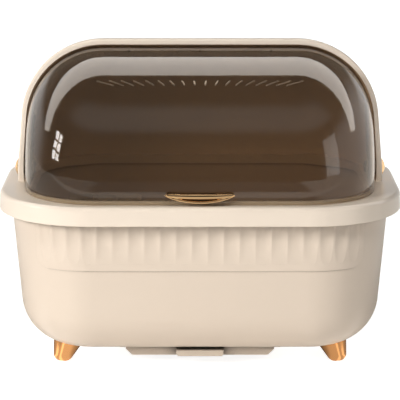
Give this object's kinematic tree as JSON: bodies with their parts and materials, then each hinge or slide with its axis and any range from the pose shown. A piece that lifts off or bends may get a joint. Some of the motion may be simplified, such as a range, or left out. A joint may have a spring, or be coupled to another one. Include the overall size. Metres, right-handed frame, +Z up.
{
  "type": "covered dish drying box",
  "caption": "Deep dish drying box on short feet: tub, collar, fixed rear shell, smoked roll-back lid, inner racks and a drip tray.",
  "frame": {"origin": "on the table, under the centre of the box", "axes": "+X to the box's right seen from the front, -Y to the front, +Z up"},
  "size_m": [0.43, 0.292, 0.344],
  "materials": {
    "tub": "satin cream",
    "collar": "satin cream",
    "shell": "satin cream",
    "tray": "satin cream",
    "runner": "matt cream",
    "rack": "matt cream",
    "holder": "matt cream",
    "lid": "smoked transparent plastic, polished",
    "handle": "rose-gold plated, polished",
    "foot": "rose-gold plated, polished",
    "pivot": "rose-gold plated, polished",
    "spacer": "plain",
    "bush": "plain",
    "buffer": "soft, translucent",
    "screw": "plain"
  },
  "bodies": {
    "base": {"tub": "tub", "foot_front_left": "foot", "foot_front_right": "foot", "foot_rear_left": "foot", "foot_rear_right": "foot", "foot_screws": "screw", "tray_runner_left": "runner", "tray_runner_right": "runner", "runner_screws": "screw"},
    "tray": {"drip_tray": "tray"},
    "cover": {"collar": "collar", "lid_buffers": "buffer", "rear_shell": "shell", "pivot_cap_left": "pivot", "pivot_cap_right": "pivot", "pivot_spacer_left": "spacer", "pivot_spacer_right": "spacer", "pivot_screw_left": "screw", "pivot_screw_right": "screw"},
    "lid": {"front_lid": "lid", "lid_handle": "handle", "handle_screws": "screw", "lid_bush_left": "bush", "lid_bush_right": "bush"},
    "floor_rack": {"drain_rack": "rack"},
    "upper_rack": {"bowl_rack": "rack"},
    "plates": {"plate_rack": "rack"},
    "cutlery": {"cutlery_holder": "holder"}
  },
  "joints": [
    {"name": "tray_slide", "type": "slide", "parent": "base", "child": "tray", "axis": [0, -1, 0], "range_m": [0, 0.11]},
    {"name": "cover_lift", "type": "slide", "parent": "base", "child": "cover", "axis": [0, 0, 1], "range_m": [0, 0.06]},
    {"name": "lid_hinge", "type": "hinge", "parent": "cover", "child": "lid", "pos_m": [0, 0, 0.201], "axis": [-1, 0, 0], "range_deg": [0, 80]},
    {"name": "drain_rack_lift", "type": "slide", "parent": "base", "child": "floor_rack", "axis": [0, 0, 1], "range_m": [0, 0.04]},
    {"name": "bowl_rack_lift", "type": "slide", "parent": "base", "child": "upper_rack", "axis": [0, 0, 1], "range_m": [0, 0.03]},
    {"name": "plate_rack_lift", "type": "slide", "parent": "floor_rack", "child": "plates", "axis": [0, 0, 1], "range_m": [0, 0.04]},
    {"name": "cutlery_lift", "type": "slide", "parent": "floor_rack", "child": "cutlery", "axis": [0, 0, 1], "range_m": [0, 0.08]}
  ]
}
